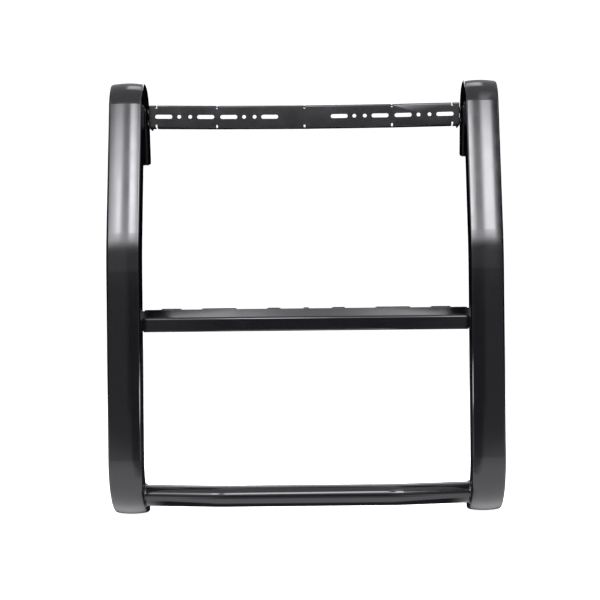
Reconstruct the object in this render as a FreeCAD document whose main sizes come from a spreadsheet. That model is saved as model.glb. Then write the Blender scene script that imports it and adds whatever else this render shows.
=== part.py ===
import FreeCAD, Part
import math
import os
import Sketcher

"""Front grille guard for a full-size pickup: two hooked uprights, a slotted light channel across
their tops, a folded step bar, a round lower tube, and the brackets that carry it on the frame.

X runs across the truck, Y points back to the truck, Z is up. The origin is the middle of the
guard's footprint. Inside a sub-part, Y is the depth behind the front of the uprights.
"""

DIMENSIONS = {
    "overall_depth": 240.0,
    "overall_height": 1008.0,
    "clear_width": 741.0,
    # Uprights: one bent rectangular tube each, crowned on its front side.
    "tube_width": 76.2,
    "tube_depth": 50.8,
    "tube_wall": 3.0,
    "tube_corner": 6.0,
    "crown_radius": 200.0,
    "foot_radius": 113.6,
    "foot_tip": 3.0,
    "knee_height": 606.4,
    "knee_radius": 450.0,
    "lean_angle": 10.6,
    "hook_radius": 48.0,
    "tail_angle": 10.5,
    "left_tail_height": 825.0,
    "right_tail_height": 838.0,
    "cap_plate": 2.5,
    "cap_skirt": 12.0,
    "cap_gap": 0.3,
    "cap_wall": 2.0,
    # Light channel: a folded channel whose web follows a shallow curve in straight facets.
    "channel_height": 54.0,
    "channel_middle": 929.5,
    "channel_sheet": 3.0,
    "channel_flange": 22.0,
    "channel_bend": 3.5,
    "channel_half": 364.5,
    "channel_front": 150.0,
    "channel_bow": 24.0,
    "outer_fold": 347.8,
    "inner_fold": 206.7,
    "inner_fold_rise": 15.5,
    "tab_reach": 54.0,
    "tab_bolt_spacing": 26.0,
    "notch_width": 4.0,
    "notch_height": 8.0,
    "notch_reach": 8.0,
    "slot_length": 40.0,
    "slot_width": 9.5,
    "channel_hole": 9.0,
    # Step bar: a folded channel, open below, with a sloped shoulder and flared slots on top.
    "step_top": 475.7,
    "step_bottom": 424.7,
    "step_front": 56.0,
    "step_shoulder_run": 24.0,
    "step_shoulder_rise": 20.0,
    "step_tread": 54.0,
    "step_rear_drop": 34.0,
    "step_sheet": 3.0,
    "step_lip": 16.0,
    "step_bend": 3.0,
    "step_front_bend": 8.0,
    "end_plate": 4.0,
    "flare_height": 2.4,
    "flare_rim": 3.5,
    # Lower tube.
    "lower_radius": 24.15,
    "lower_wall": 3.7,
    "lower_height": 51.5,
    "lower_front": 39.0,
    "lower_rear": 69.0,
    "lower_bend_at": 200.0,
    "lower_bend_radius": 150.0,
    "lower_spare": 12.0,
    "weld_core": 80.0,
    "weld_leg": 3.0,
    "weld_toe": 1.2,
    # Angle brackets that hold the step bar to the backs of the uprights.
    "step_bracket_sheet": 4.0,
    "step_bracket_wide": 62.0,
    "step_bracket_deep": 74.0,
    "step_bracket_high": 46.0,
    # Brackets that carry the guard on the truck's frame.
    "frame_bracket_sheet": 6.0,
    "frame_bracket_inner": 26.0,
    "frame_bracket_outer": 31.0,
    "frame_bracket_low": 160.0,
    "frame_bracket_high": 370.0,
    "frame_bracket_cut": 45.0,
    "frame_hole": 13.5,
    "frame_hole_depth": 190.0,
    "frame_hole_deep_spacing": 60.0,
    "frame_hole_high_spacing": 100.0,
    "gusset_sheet": 5.0,
    "gusset_wide": 34.0,
    "gusset_deep": 60.0,
    # Fasteners. A washer's radius is its bolt's diameter.
    "small_bolt": 8.0,
    "large_bolt": 10.0,
    "hole_clearance": 0.5,
    "washer_clearance": 0.2,
    "spacer_clearance": 0.4,
    "small_washer": 1.6,
    "large_washer": 2.0,
    "small_lock_washer": 2.0,
    "large_lock_washer": 2.5,
    "lock_washer_gap": 1.2,
    "insert_collar": 0.8,
    "insert_wall": 1.5,
    "insert_length": 16.0,
    "tab_bolt_length": 25.0,
    "wall_bolt_length": 20.0,
    "end_bolt_length": 22.0,
    "frame_bolt_length": 26.0,
}

SLOT_CENTRES = (82.3, 178.8, 233.1, 330.9)
HOLE_CENTRES = (117.9, 142.8, 269.2, 294.9)
STEP_PUNCHES = ((75.0, 34.0), (201.0, 84.0), (312.0, 50.0))
STEP_BOLT_OFFSETS = (-13.0, 13.0)
FRAME_BOLT_HEIGHTS = (190.0, 265.0, 340.0)
GUSSET_HEIGHTS = (227.5, 302.5)
END_BOLT_PLACES = ((78.0, 443.0), (112.0, 452.0))
SIDES = {"left": -1, "right": 1}
X_AXIS = FreeCAD.Vector(1, 0, 0)
Y_AXIS = FreeCAD.Vector(0, 1, 0)
NEAR = 1e-4
SHORTEST_BEND = 10.0
LEAST_CUT = 1.0
HEX_REACH = 0.94
HEAD_RISE = 0.65
NUT_RISE = 0.8
COLLAR_REACH = 0.8
FLARE_TAPER = -38.0


class Size:
    """A length that carries its value and the spreadsheet expression that yields it."""

    def __init__(self, value, text):
        self.value = value
        self.text = text

    def _with(self, other, sign, value):
        return Size(value, f"({self.text} {sign} {size(other).text})")

    def __add__(self, other):
        return self._with(other, "+", self.value + size(other).value)

    def __sub__(self, other):
        return self._with(other, "-", self.value - size(other).value)

    def __mul__(self, other):
        return self._with(other, "*", self.value * size(other).value)

    def __truediv__(self, other):
        return self._with(other, "/", self.value / size(other).value)

    def __radd__(self, other):
        return size(other) + self

    def __rsub__(self, other):
        return size(other) - self

    def __rmul__(self, other):
        return size(other) * self

    def __neg__(self):
        return Size(-self.value, f"(0 - {self.text})")


def size(item):
    return item if isinstance(item, Size) else Size(float(item), repr(float(item)))


def sine(angle):
    return Size(math.sin(math.radians(angle.value)), f"sin({angle.text})")


def cosine(angle):
    return Size(math.cos(math.radians(angle.value)), f"cos({angle.text})")


def tangent(angle):
    return Size(math.tan(math.radians(angle.value)), f"tan({angle.text})")


def arc_tangent(item):
    return Size(math.degrees(math.atan(item.value)), f"atan({item.text})")


def root(item):
    return Size(math.sqrt(item.value), f"sqrt({item.text})")


doc = FreeCAD.newDocument("GrilleGuard")
sheet = doc.addObject("Spreadsheet::Sheet", "Dimensions")
for row, (alias, number) in enumerate(DIMENSIONS.items(), start=1):
    sheet.set(f"A{row}", alias)
    sheet.set(f"B{row}", str(number))
    sheet.setAlias(f"B{row}", alias)
doc.recompute()


def dim(alias):
    return Size(float(sheet.get(alias)), f"Dimensions.{alias}")


def bind(item, prop, length):
    item.setExpression(prop, size(length).text)


def place(item, x, y, z, axis=None, angle=0.0):
    """Puts a sub-part at a bound position, turned about one axis."""
    if axis is not None:
        turn = FreeCAD.Rotation(axis, size(angle).value)
        item.Placement = FreeCAD.Placement(FreeCAD.Vector(), turn)
        bind(item, "Placement.Rotation.Angle", angle)
    for letter, length in zip("xyz", (x, y, z)):
        bind(item, f"Placement.Base.{letter}", length)


# Sketch helpers.


def new_body(label):
    body = doc.addObject("PartDesign::Body", label)
    body.Label = label
    return body


def new_sketch(body, role, name, offset=0.0):
    """A sketch on one of the body's own origin planes, raised along the plane's normal."""
    sketch = body.newObject("Sketcher::SketchObject", name)
    planes = [f for f in body.Origin.OriginFeatures if f.Role == role]
    sketch.AttachmentSupport = (planes[0], [""])
    sketch.MapMode = "FlatFace"
    bind(sketch, "AttachmentOffset.Base.z", offset)
    return sketch


def point(x, y):
    return FreeCAD.Vector(size(x).value, size(y).value, 0)


def hold(sketch, kind, index, end, length, name):
    """Fixes one coordinate of a point to a bound length."""
    rule = Sketcher.Constraint(kind, -1, 1, index, end, size(length).value)
    sketch.addConstraint(rule)
    sketch.renameConstraint(sketch.ConstraintCount - 1, name)
    sketch.setExpression(f"Constraints.{name}", size(length).text)


def measure(sketch, kind, index, length, name):
    """Fixes the radius or length of one curve to a bound length."""
    sketch.addConstraint(Sketcher.Constraint(kind, index, size(length).value))
    sketch.renameConstraint(sketch.ConstraintCount - 1, name)
    sketch.setExpression(f"Constraints.{name}", size(length).text)


def end_at(sketch, index, spot):
    return 1 if (sketch.getPoint(index, 1) - spot).Length < NEAR else 2


def polygon(sketch, corners, name="corner"):
    """A closed outline of straight lines, with each corner held at a bound place."""
    spots = [point(x, y) for x, y in corners]
    first = sketch.GeometryCount
    count = len(spots)
    for index in range(count):
        following = spots[(index + 1) % count]
        sketch.addGeometry(Part.LineSegment(spots[index], following))
    for index in range(count):
        following = first + (index + 1) % count
        sketch.addConstraint(Sketcher.Constraint("Coincident", first + index, 2, following, 1))
    for index, (x, y) in enumerate(corners):
        hold(sketch, "DistanceX", first + index, 1, x, f"{name}{index}x")
        hold(sketch, "DistanceY", first + index, 1, y, f"{name}{index}y")


def rectangle(sketch, low, high, name="corner"):
    (x0, y0), (x1, y1) = low, high
    polygon(sketch, [(x0, y0), (x1, y0), (x1, y1), (x0, y1)], name)


def circle(sketch, x, y, radius, name):
    centre = point(x, y)
    normal = FreeCAD.Vector(0, 0, 1)
    index = sketch.addGeometry(Part.Circle(centre, normal, size(radius).value))
    measure(sketch, "Radius", index, radius, f"{name}r")
    hold(sketch, "DistanceX", index, 3, x, f"{name}x")
    hold(sketch, "DistanceY", index, 3, y, f"{name}y")


def smooth_chain(sketch, curves, closed):
    """Adds curves that meet end to end, tangent at every joint. A curve is its points in order:
    two for a line, three for an arc."""
    first = sketch.GeometryCount
    for points in curves:
        shape = Part.LineSegment(*points) if len(points) == 2 else Part.Arc(*points)
        sketch.addGeometry(shape)
    count = len(curves)
    for index in range(count if closed else count - 1):
        following = (index + 1) % count
        joint = curves[index][-1]
        ends = [end_at(sketch, first + k, joint) for k in (index, following)]
        rule = Sketcher.Constraint("Tangent", first + index, ends[0], first + following, ends[1])
        sketch.addConstraint(rule)
    return first


def arc_points(centre, radius, start, finish):
    """Start, middle and end of an arc between two directions in degrees."""
    angles = (start, (start + finish) / 2, finish)
    return [
        centre + FreeCAD.Vector(math.cos(math.radians(a)), math.sin(math.radians(a)), 0) * radius
        for a in angles
    ]


def pad(body, sketch, name, length, middle=False, backward=False):
    feature = body.newObject("PartDesign::Pad", name)
    feature.Profile = sketch
    bind(feature, "Length", length)
    if middle:
        feature.SideType = "Symmetric"
    feature.Reversed = backward
    return feature


def pocket(body, sketch, name, length, middle=False):
    """Cuts a sketch into the body, and turns the cut round if it first points into the air."""
    doc.recompute()
    before = body.Shape.Volume
    feature = body.newObject("PartDesign::Pocket", name)
    feature.Profile = sketch
    bind(feature, "Length", length)
    if middle:
        feature.SideType = "Symmetric"
    doc.recompute()
    if before - body.Shape.Volume < LEAST_CUT:
        feature.Reversed = True
        doc.recompute()
    if before - body.Shape.Volume < LEAST_CUT:
        raise RuntimeError(f"{name} cuts nothing")
    return feature


def edge_names(shape, wanted):
    return [f"Edge{i}" for i, edge in enumerate(shape.Edges, start=1) if wanted(edge)]


def fillet(body, name, radius, wanted):
    """Rounds the edges of the body's last feature that the test picks out."""
    doc.recompute()
    base = body.Tip
    feature = body.newObject("PartDesign::Fillet", name)
    feature.Base = (base, edge_names(base.Shape, wanted))
    bind(feature, "Radius", radius)
    return feature


# Places that several sub-parts share.

front = -dim("overall_depth") / 2
inner_wall = dim("clear_width") / 2
upright_x = inner_wall + dim("tube_width") / 2
half_depth = dim("tube_depth") / 2
foot_end = half_depth + dim("foot_radius") + dim("foot_tip")
hook_z = dim("overall_height") - dim("hook_radius") - half_depth
hook_start_z = hook_z + dim("hook_radius") * sine(dim("lean_angle"))
knee_corner_z = dim("knee_height") - half_depth * tangent(dim("lean_angle") / 2)
knee_tangent = dim("knee_radius") * tangent(dim("lean_angle") / 2)
hook_start_y = half_depth + (hook_start_z - knee_corner_z) * tangent(dim("lean_angle"))
hook_y = hook_start_y + dim("hook_radius") * cosine(dim("lean_angle"))
tail_start_y = hook_y + dim("hook_radius") * cosine(dim("tail_angle"))
tail_start_z = hook_z + dim("hook_radius") * sine(dim("tail_angle"))
tab_bolt_y = tail_start_y + (tail_start_z - dim("channel_middle")) * tangent(dim("tail_angle"))
step_middle_z = (dim("step_top") + dim("step_bottom")) / 2
step_tread_front = dim("step_front") + dim("step_shoulder_run")
step_rear = step_tread_front + dim("step_tread")
step_shoulder_z = dim("step_top") - dim("step_shoulder_rise")
bar_half = inner_wall - dim("end_plate")
lower_set_back = dim("lower_rear") - dim("lower_front")
lower_slope = lower_set_back / (inner_wall - dim("lower_bend_at"))
lower_turn = arc_tangent(lower_slope)
lower_straight = dim("lower_bend_at") - dim("lower_bend_radius") * tangent(lower_turn / 2)
small_clear = dim("small_bolt") / 2 + dim("hole_clearance")
large_clear = dim("large_bolt") / 2 + dim("hole_clearance")
small_insert_radius = dim("small_bolt") / 2 + dim("insert_wall")
large_insert_radius = dim("large_bolt") / 2 + dim("insert_wall")


def side_at(side, length):
    """Mirrors a distance from the middle of the guard to the left or the right."""
    return -size(length) if side < 0 else size(length)


def tail_end(side_name):
    """Depth and height of the middle of a tail's end. The two tails differ a little."""
    height = dim(f"{side_name}_tail_height")
    return tail_start_y + (tail_start_z - height) * tangent(dim("tail_angle")), height


# Uprights and their end caps.


def tube_outline(sketch, inset, name):
    """The tube's section, shrunk by inset: flat on top, crowned below, rounded at the corners."""
    half = dim("tube_width") / 2 - inset
    corner = dim("tube_corner") - inset
    crown = dim("crown_radius") - inset
    crown_y = dim("crown_radius")
    top = dim("tube_depth") - inset
    corner_x = half - corner
    across = (crown - corner).value
    lower_y = crown_y.value - math.sqrt(across**2 - corner_x.value**2)
    splay = math.degrees(math.asin(corner_x.value / across))
    right_low = FreeCAD.Vector(corner_x.value, lower_y, 0)
    left_low = FreeCAD.Vector(-corner_x.value, lower_y, 0)
    right_high = point(corner_x, top - corner)
    left_high = point(-corner_x, top - corner)
    radius = corner.value
    crown_arc = arc_points(point(0, crown_y), crown.value, 270 - splay, 270 + splay)
    low_right = arc_points(right_low, radius, 270 + splay, 360)
    high_right = arc_points(right_high, radius, 0, 90)
    high_left = arc_points(left_high, radius, 90, 180)
    low_left = arc_points(left_low, radius, 180, 270 - splay)
    curves = [
        crown_arc,
        low_right,
        [low_right[-1], high_right[0]],
        high_right,
        [high_right[-1], high_left[0]],
        high_left,
        [high_left[-1], low_left[0]],
        low_left,
    ]
    first = smooth_chain(sketch, curves, closed=True)
    sketch.addConstraint(Sketcher.Constraint("Vertical", first + 2))
    sketch.addConstraint(Sketcher.Constraint("Vertical", first + 6))
    sketch.addConstraint(Sketcher.Constraint("Horizontal", first + 4))
    measure(sketch, "Radius", first, crown, f"{name}crown")
    for index in (1, 3, 5, 7):
        measure(sketch, "Radius", first + index, corner, f"{name}corner{index}")
    hold(sketch, "DistanceX", first, 3, 0, f"{name}middle")
    hold(sketch, "DistanceY", first, 3, crown_y, f"{name}crownheight")
    hold(sketch, "DistanceX", first + 2, 1, half, f"{name}right")
    hold(sketch, "DistanceX", first + 6, 1, -half, f"{name}left")
    hold(sketch, "DistanceY", first + 4, 1, top, f"{name}top")


def upright_path(body, side_name):
    """The tube's centre line seen from the side: foot, riser, knee, lean, hook and tail."""
    sketch = new_sketch(body, "YZ_Plane", "path")
    tail_y, tail_z = tail_end(side_name)
    lean = dim("lean_angle").value
    tail = dim("tail_angle").value
    foot_centre = point(half_depth + dim("foot_radius"), half_depth + dim("foot_radius"))
    foot = arc_points(foot_centre, dim("foot_radius").value, 270, 180)
    knee_centre = point(half_depth + dim("knee_radius"), knee_corner_z - knee_tangent)
    knee = arc_points(knee_centre, dim("knee_radius").value, 180, 180 - lean)
    hook = arc_points(point(hook_y, hook_z), dim("hook_radius").value, 180 - lean, tail)
    curves = [
        [point(foot_end, half_depth), foot[0]],
        foot,
        [foot[-1], knee[0]],
        knee,
        [knee[-1], hook[0]],
        hook,
        [hook[-1], point(tail_y, tail_z)],
    ]
    smooth_chain(sketch, curves, closed=False)
    sketch.addConstraint(Sketcher.Constraint("Horizontal", 0))
    sketch.addConstraint(Sketcher.Constraint("Vertical", 2))
    measure(sketch, "Radius", 1, dim("foot_radius"), "foot")
    measure(sketch, "Radius", 3, dim("knee_radius"), "knee")
    measure(sketch, "Radius", 5, dim("hook_radius"), "hook")
    hold(sketch, "DistanceX", 0, 1, foot_end, "footend")
    hold(sketch, "DistanceY", 0, 1, half_depth, "footheight")
    hold(sketch, "DistanceX", 2, 1, half_depth, "riser")
    hold(sketch, "DistanceY", 2, 2, knee_corner_z - knee_tangent, "kneestart")
    hold(sketch, "DistanceX", 5, 3, hook_y, "hooky")
    hold(sketch, "DistanceY", 5, 3, hook_z, "hookz")
    hold(sketch, "DistanceX", 6, 2, tail_y, "taily")
    hold(sketch, "DistanceY", 6, 2, tail_z, "tailz")
    return sketch


def build_upright(side_name):
    side = SIDES[side_name]
    body = new_body(f"{side_name}_upright")
    path = upright_path(body, side_name)
    section = new_sketch(body, "XZ_Plane", "section", -foot_end)
    tube_outline(section, size(0), "outer")
    tube_outline(section, dim("tube_wall"), "inner")
    doc.recompute()
    pipe = body.newObject("PartDesign::AdditivePipe", "tube")
    pipe.Profile = section
    pipe.Spine = path
    doc.recompute()
    rear = new_sketch(body, "XZ_Plane", "rear_holes", -dim("tube_depth"))
    for index, offset in enumerate(STEP_BOLT_OFFSETS):
        circle(rear, 0, step_middle_z + offset, small_insert_radius, f"step{index}")
    for index, height in enumerate(FRAME_BOLT_HEIGHTS):
        circle(rear, 0, height, large_insert_radius, f"frame{index}")
    pocket(body, rear, "rear_hole_cut", dim("tube_wall") * 2, middle=True)
    wall = side_at(-side, dim("tube_width") / 2)
    inner = new_sketch(body, "YZ_Plane", "channel_holes", wall)
    for index, end in enumerate((-1, 1)):
        height = dim("channel_middle") + dim("tab_bolt_spacing") * end / 2
        circle(inner, tab_bolt_y, height, small_insert_radius, f"tab{index}")
    pocket(body, inner, "channel_hole_cut", dim("tube_wall") * 2, middle=True)
    place(body, side_at(side, upright_x), front, 0)


def build_cap(name, inward):
    """A plastic cap: a plate with the tube's outline and a skirt that slides inside it."""
    body = new_body(name)
    plate = new_sketch(body, "XY_Plane", "plate")
    tube_outline(plate, dim("cap_gap"), "plate")
    pad(body, plate, "plate_pad", dim("cap_plate"), backward=inward)
    inset = dim("tube_wall") + dim("cap_gap")
    skirt = new_sketch(body, "XY_Plane", "skirt")
    tube_outline(skirt, inset, "skirt")
    tube_outline(skirt, inset + dim("cap_wall"), "hollow")
    pad(body, skirt, "skirt_pad", dim("cap_skirt"), backward=not inward)
    return body


def build_foot_cap(side_name):
    """The foot's end faces back, with the crowned side down."""
    body = build_cap(f"{side_name}_foot_cap", inward=True)
    place(body, side_at(SIDES[side_name], upright_x), front + foot_end, 0, X_AXIS, 90)


def build_tail_cap(side_name):
    """The tail's end faces down and back, with the crowned side to the rear."""
    body = build_cap(f"{side_name}_tail_cap", inward=False)
    tail_y, tail_z = tail_end(side_name)
    y = front + tail_y + half_depth * cosine(dim("tail_angle"))
    z = tail_z + half_depth * sine(dim("tail_angle"))
    place(body, side_at(SIDES[side_name], upright_x), y, z, X_AXIS, dim("tail_angle") + 180)


# Light channel.


def channel_line(setback):
    """The web's plan line from left to right, set back by a distance."""
    start = dim("channel_front") + setback
    bend = start + dim("inner_fold_rise")
    middle = start + dim("channel_bow")
    half, outer, inner = dim("channel_half"), dim("outer_fold"), dim("inner_fold")
    right = [(inner, bend), (outer, start), (half, start)]
    left = [(-x, y) for x, y in reversed(right)]
    return left + [(size(0), middle)] + right


def channel_strip(sketch, depth):
    polygon(sketch, channel_line(0) + list(reversed(channel_line(depth))))


def slot_outline(sketch, x, y, length, width, name):
    """A round-ended slot along the sketch's first axis."""
    radius = width / 2
    reach = length / 2 - radius
    right = arc_points(point(x + reach, y), radius.value, -90, 90)
    left = arc_points(point(x - reach, y), radius.value, 90, 270)
    curves = [right, [right[-1], left[0]], left, [left[-1], right[0]]]
    first = smooth_chain(sketch, curves, closed=True)
    sketch.addConstraint(Sketcher.Constraint("Horizontal", first + 1))
    measure(sketch, "Radius", first, radius, f"{name}radius")
    hold(sketch, "DistanceX", first, 3, x + reach, f"{name}right")
    hold(sketch, "DistanceX", first + 2, 3, x - reach, f"{name}left")
    hold(sketch, "DistanceY", first, 3, y, f"{name}height")


def build_light_channel():
    body = new_body("top_light_channel")
    low = dim("channel_middle") - dim("channel_height") / 2
    high = low + dim("channel_height")
    sheet_thick = dim("channel_sheet")
    web = new_sketch(body, "XY_Plane", "web", low)
    channel_strip(web, sheet_thick)
    pad(body, web, "web_pad", dim("channel_height"))
    for name, height in (("lower", low), ("upper", high - sheet_thick)):
        strip = new_sketch(body, "XY_Plane", f"{name}_flange", height)
        channel_strip(strip, dim("channel_flange"))
        pad(body, strip, f"{name}_flange_pad", sheet_thick)
    tabs = new_sketch(body, "XY_Plane", "tabs", low)
    tab_end = dim("channel_front") + dim("tab_reach")
    for side_name, side in SIDES.items():
        near = side_at(side, dim("channel_half") - sheet_thick)
        far = side_at(side, dim("channel_half"))
        rectangle(tabs, (near, dim("channel_front")), (far, tab_end), side_name)
    pad(body, tabs, "tab_pad", dim("channel_height"))

    def is_bend(edge):
        box = edge.BoundBox
        outside = min(abs(box.ZMin - low.value), abs(box.ZMin - high.value)) < NEAR
        level = box.ZLength < NEAR and outside
        across = box.XLength > SHORTEST_BEND
        forward = all(channel_front_at(v.X) > v.Y - NEAR for v in edge.Vertexes)
        return level and across and forward

    fillet(body, "bend", dim("channel_bend"), is_bend)
    notches = new_sketch(body, "XZ_Plane", "notches", -dim("channel_front"))
    folds = [-dim("outer_fold"), -dim("inner_fold"), size(0), dim("inner_fold"), dim("outer_fold")]
    for index, fold in enumerate(folds):
        left = fold - dim("notch_width") / 2
        right = fold + dim("notch_width") / 2
        rectangle(notches, (left, low), (right, low + dim("notch_height")), f"low{index}")
        rectangle(notches, (left, high - dim("notch_height")), (right, high), f"high{index}")
    reach = dim("channel_bow") + dim("notch_reach")
    pocket(body, notches, "notch_cut", reach * 2, middle=True)
    punched = new_sketch(body, "XZ_Plane", "slots", -dim("channel_front"))
    for side_name, side in SIDES.items():
        for index, centre in enumerate(SLOT_CENTRES):
            x = side_at(side, centre)
            length, width = dim("slot_length"), dim("slot_width")
            slot_outline(punched, x, dim("channel_middle"), length, width, f"{side_name}{index}s")
        for index, centre in enumerate(HOLE_CENTRES):
            x = side_at(side, centre)
            circle(punched, x, dim("channel_middle"), dim("channel_hole") / 2, f"{side_name}{index}h")
    pocket(body, punched, "slot_cut", dim("channel_bow") * 4, middle=True)
    tab_holes = new_sketch(body, "YZ_Plane", "tab_holes")
    for index, end in enumerate((-1, 1)):
        height = dim("channel_middle") + dim("tab_bolt_spacing") * end / 2
        circle(tab_holes, tab_bolt_y, height, small_clear, f"tab{index}")
    pocket(body, tab_holes, "tab_hole_cut", dim("channel_half") * 3, middle=True)
    place(body, 0, front, 0)


def channel_front_at(x):
    """The depth of the web's front at a distance from the middle."""
    start = dim("channel_front").value
    bend = start + dim("inner_fold_rise").value
    middle = start + dim("channel_bow").value
    inner, outer = dim("inner_fold").value, dim("outer_fold").value
    if abs(x) < inner:
        return middle + (bend - middle) * abs(x) / inner
    if abs(x) < outer:
        return bend + (start - bend) * (abs(x) - inner) / (outer - inner)
    return start


# Step bar.


def step_profile(sketch, inset, below, name):
    """The step bar's section, shrunk by the sheet's thickness and run down to a height."""
    run, rise = dim("step_shoulder_run"), dim("step_shoulder_rise")
    slope = rise / run
    slant = inset * root(run * run + rise * rise) / run
    front_y = dim("step_front") + inset
    rear_y = step_rear - inset
    top = dim("step_top") - inset
    front_z = step_shoulder_z + inset * slope - slant
    tread_y = front_y + (top - front_z) / slope
    corners = [(front_y, below), (front_y, front_z), (tread_y, top), (rear_y, top), (rear_y, below)]
    polygon(sketch, corners, name)


def build_step_bar():
    body = new_body("step_crossbar")
    outer = new_sketch(body, "YZ_Plane", "outer")
    step_profile(outer, size(0), dim("step_bottom"), "outer")
    pad(body, outer, "outer_pad", bar_half * 2, middle=True)

    def is_front_bend(edge):
        box = edge.BoundBox
        return box.XLength > bar_half.value and abs(box.ZMin - step_shoulder_z.value) < NEAR

    def is_other_bend(edge):
        box = edge.BoundBox
        return box.XLength > bar_half.value and (
            box.ZMin > dim("step_top").value - NEAR or box.ZMax < dim("step_bottom").value + NEAR
        )

    fillet(body, "front_bend", dim("step_front_bend"), is_front_bend)
    fillet(body, "other_bends", dim("step_bend"), is_other_bend)
    hollow = new_sketch(body, "YZ_Plane", "hollow")
    step_profile(hollow, dim("step_sheet"), dim("step_bottom") + dim("step_sheet"), "hollow")
    pocket(body, hollow, "hollow_cut", bar_half * 3, middle=True)
    rear_bottom = dim("step_top") - dim("step_rear_drop")
    opening = new_sketch(body, "YZ_Plane", "opening")
    lip_end = dim("step_front") + dim("step_lip")
    under = dim("step_bottom") - dim("step_sheet")
    behind = step_rear + dim("step_sheet")
    inner_rear = step_rear - dim("step_sheet")
    corners = [
        (lip_end, under),
        (behind, under),
        (behind, rear_bottom),
        (inner_rear, rear_bottom),
        (inner_rear, dim("step_bottom") + dim("step_sheet")),
        (lip_end, dim("step_bottom") + dim("step_sheet")),
    ]
    polygon(opening, corners)
    pocket(body, opening, "opening_cut", bar_half * 3, middle=True)
    tread_middle = step_tread_front + dim("step_tread") / 2
    rims = new_sketch(body, "XY_Plane", "rims", dim("step_top") - dim("step_sheet") / 2)
    slots = new_sketch(body, "XY_Plane", "slots", dim("step_top"))
    hole = dim("slot_width") / 2
    circle(rims, 0, tread_middle, hole + dim("flare_rim"), "middle")
    circle(slots, 0, tread_middle, hole, "middle")
    for side_name, side in SIDES.items():
        for index, (centre, length) in enumerate(STEP_PUNCHES):
            x = side_at(side, centre)
            name = f"{side_name}{index}"
            slot_length = size(length) - dim("flare_rim") * 2
            width = dim("slot_width") + dim("flare_rim") * 2
            slot_outline(rims, x, tread_middle, length, width, name)
            slot_outline(slots, x, tread_middle, slot_length, dim("slot_width"), name)
    rim_pad = pad(body, rims, "rim_pad", dim("flare_height") + dim("step_sheet") / 2)
    rim_pad.TaperAngle = FLARE_TAPER
    pocket(body, slots, "slot_cut", dim("flare_height") * 4, middle=True)
    place(body, 0, front, 0)


def build_end_plate(side_name):
    """A plate welded across the end of the step bar, bolted to the angle bracket."""
    side = SIDES[side_name]
    body = new_body(f"{side_name}_step_end_plate")
    outline = new_sketch(body, "YZ_Plane", "outline")
    step_profile(outline, size(0), dim("step_bottom"), "outline")
    pad(body, outline, "plate", dim("end_plate"), backward=side > 0)
    bolts = new_sketch(body, "YZ_Plane", "bolt_holes")
    for index, (y, z) in enumerate(END_BOLT_PLACES):
        circle(bolts, y, z, small_clear, f"bolt{index}")
    pocket(body, bolts, "bolt_hole_cut", dim("end_plate") * 3, middle=True)
    place(body, side_at(side, inner_wall), front, 0)


def build_step_bracket(side_name):
    """An angle: one leg on the back of the upright, one leg beside the end plate."""
    side = SIDES[side_name]
    body = new_body(f"{side_name}_step_bracket")
    thick = dim("step_bracket_sheet")
    back = dim("tube_depth")
    low = step_middle_z - dim("step_bracket_high") / 2
    angle = new_sketch(body, "XY_Plane", "angle", low)
    corners = [
        (size(0), back),
        (dim("step_bracket_wide"), back),
        (dim("step_bracket_wide"), back + thick),
        (thick, back + thick),
        (thick, back + dim("step_bracket_deep")),
        (size(0), back + dim("step_bracket_deep")),
    ]
    polygon(angle, [(side_at(side, x), y) for x, y in corners])
    pad(body, angle, "angle_pad", dim("step_bracket_high"))
    wall_holes = new_sketch(body, "XZ_Plane", "wall_holes", -back)
    for index, offset in enumerate(STEP_BOLT_OFFSETS):
        x = side_at(side, dim("tube_width") / 2)
        circle(wall_holes, x, step_middle_z + offset, small_clear, f"wall{index}")
    pocket(body, wall_holes, "wall_hole_cut", thick * 3, middle=True)
    end_holes = new_sketch(body, "YZ_Plane", "end_holes")
    for index, (y, z) in enumerate(END_BOLT_PLACES):
        circle(end_holes, y, z, small_clear, f"end{index}")
    pocket(body, end_holes, "end_hole_cut", thick * 3, middle=True)
    place(body, side_at(side, inner_wall), front, 0)


# Lower tube.


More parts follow.
